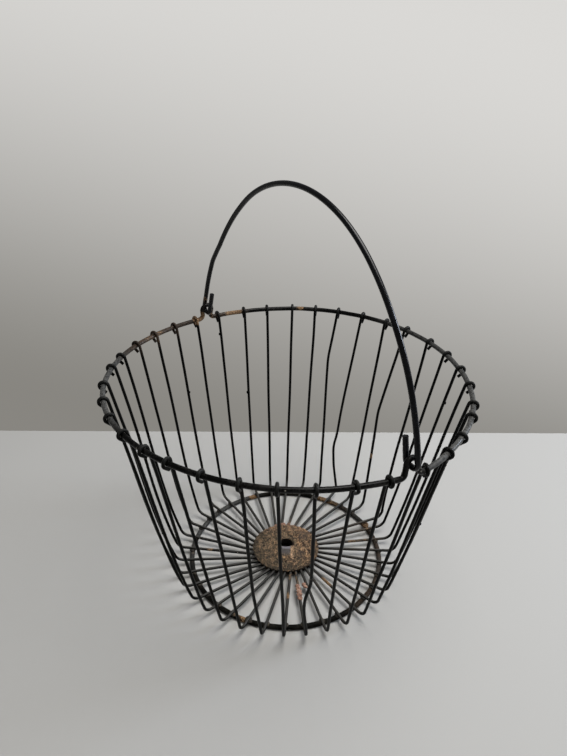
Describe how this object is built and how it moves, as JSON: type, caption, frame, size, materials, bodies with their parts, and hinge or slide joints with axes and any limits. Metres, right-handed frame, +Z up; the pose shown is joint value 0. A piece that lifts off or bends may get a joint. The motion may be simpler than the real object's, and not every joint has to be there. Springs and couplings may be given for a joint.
{
  "type": "wire basket",
  "caption": "Round wire gathering basket: ribs hooked over a rim hoop taper down to a foot ring and a domed two-disc hub, and a wire bail swings in two rim loops.",
  "frame": {"origin": "on the floor, under the middle of the base", "axes": "+Z up through the middle of the basket; X runs along the line between the two ears of the bail"},
  "size_m": [0.3321, 0.3305, 0.3793],
  "materials": {
    "rim_wire": "dark oxidised steel wire, semi-gloss, ochre rust on the back",
    "rib_wire": "near-black oxidised steel wire with pale wear specks",
    "foot_wire": "dull brown-grey steel wire with solder and rust blobs",
    "hub_sheet": "rough orange-brown rusted sheet with a grey worn patch",
    "bail_wire": "dark semi-gloss steel wire, a little rust near the loops"
  },
  "bodies": {
    "basket": {"rim_hoop": "rim_wire", "rib_01": "rib_wire", "rib_02": "rib_wire", "rib_03": "rib_wire", "rib_04": "rib_wire", "rib_05": "rib_wire", "rib_06": "rib_wire", "rib_07": "rib_wire", "rib_08": "rib_wire", "rib_09": "rib_wire", "rib_10": "rib_wire", "rib_11": "rib_wire", "rib_12": "rib_wire", "rib_13": "rib_wire", "rib_14": "rib_wire", "rib_15": "rib_wire", "rib_16": "rib_wire", "rib_17": "rib_wire", "rib_18": "rib_wire", "rib_19": "rib_wire", "rib_20": "rib_wire", "rib_21": "rib_wire", "rib_22": "rib_wire", "rib_23": "rib_wire", "rib_24": "rib_wire", "rib_25": "rib_wire", "rib_26": "rib_wire", "rib_27": "rib_wire", "rib_28": "rib_wire", "rib_29": "rib_wire", "rib_30": "rib_wire", "rib_31": "rib_wire", "rib_32": "rib_wire", "rib_33": "rib_wire", "rib_34": "rib_wire", "rib_35": "rib_wire", "rib_36": "rib_wire", "foot_ring": "foot_wire", "hub_top_disc": "hub_sheet", "hub_bottom_disc": "hub_sheet"},
    "bail": {"bail": "bail_wire"}
  },
  "joints": [
    {"name": "bail_swing", "type": "hinge", "parent": "basket", "child": "bail", "pos_m": [0, -0.0028, 0.2151], "axis": [0.9999, 0, -0.0119], "range_deg": [-80, 82]}
  ]
}
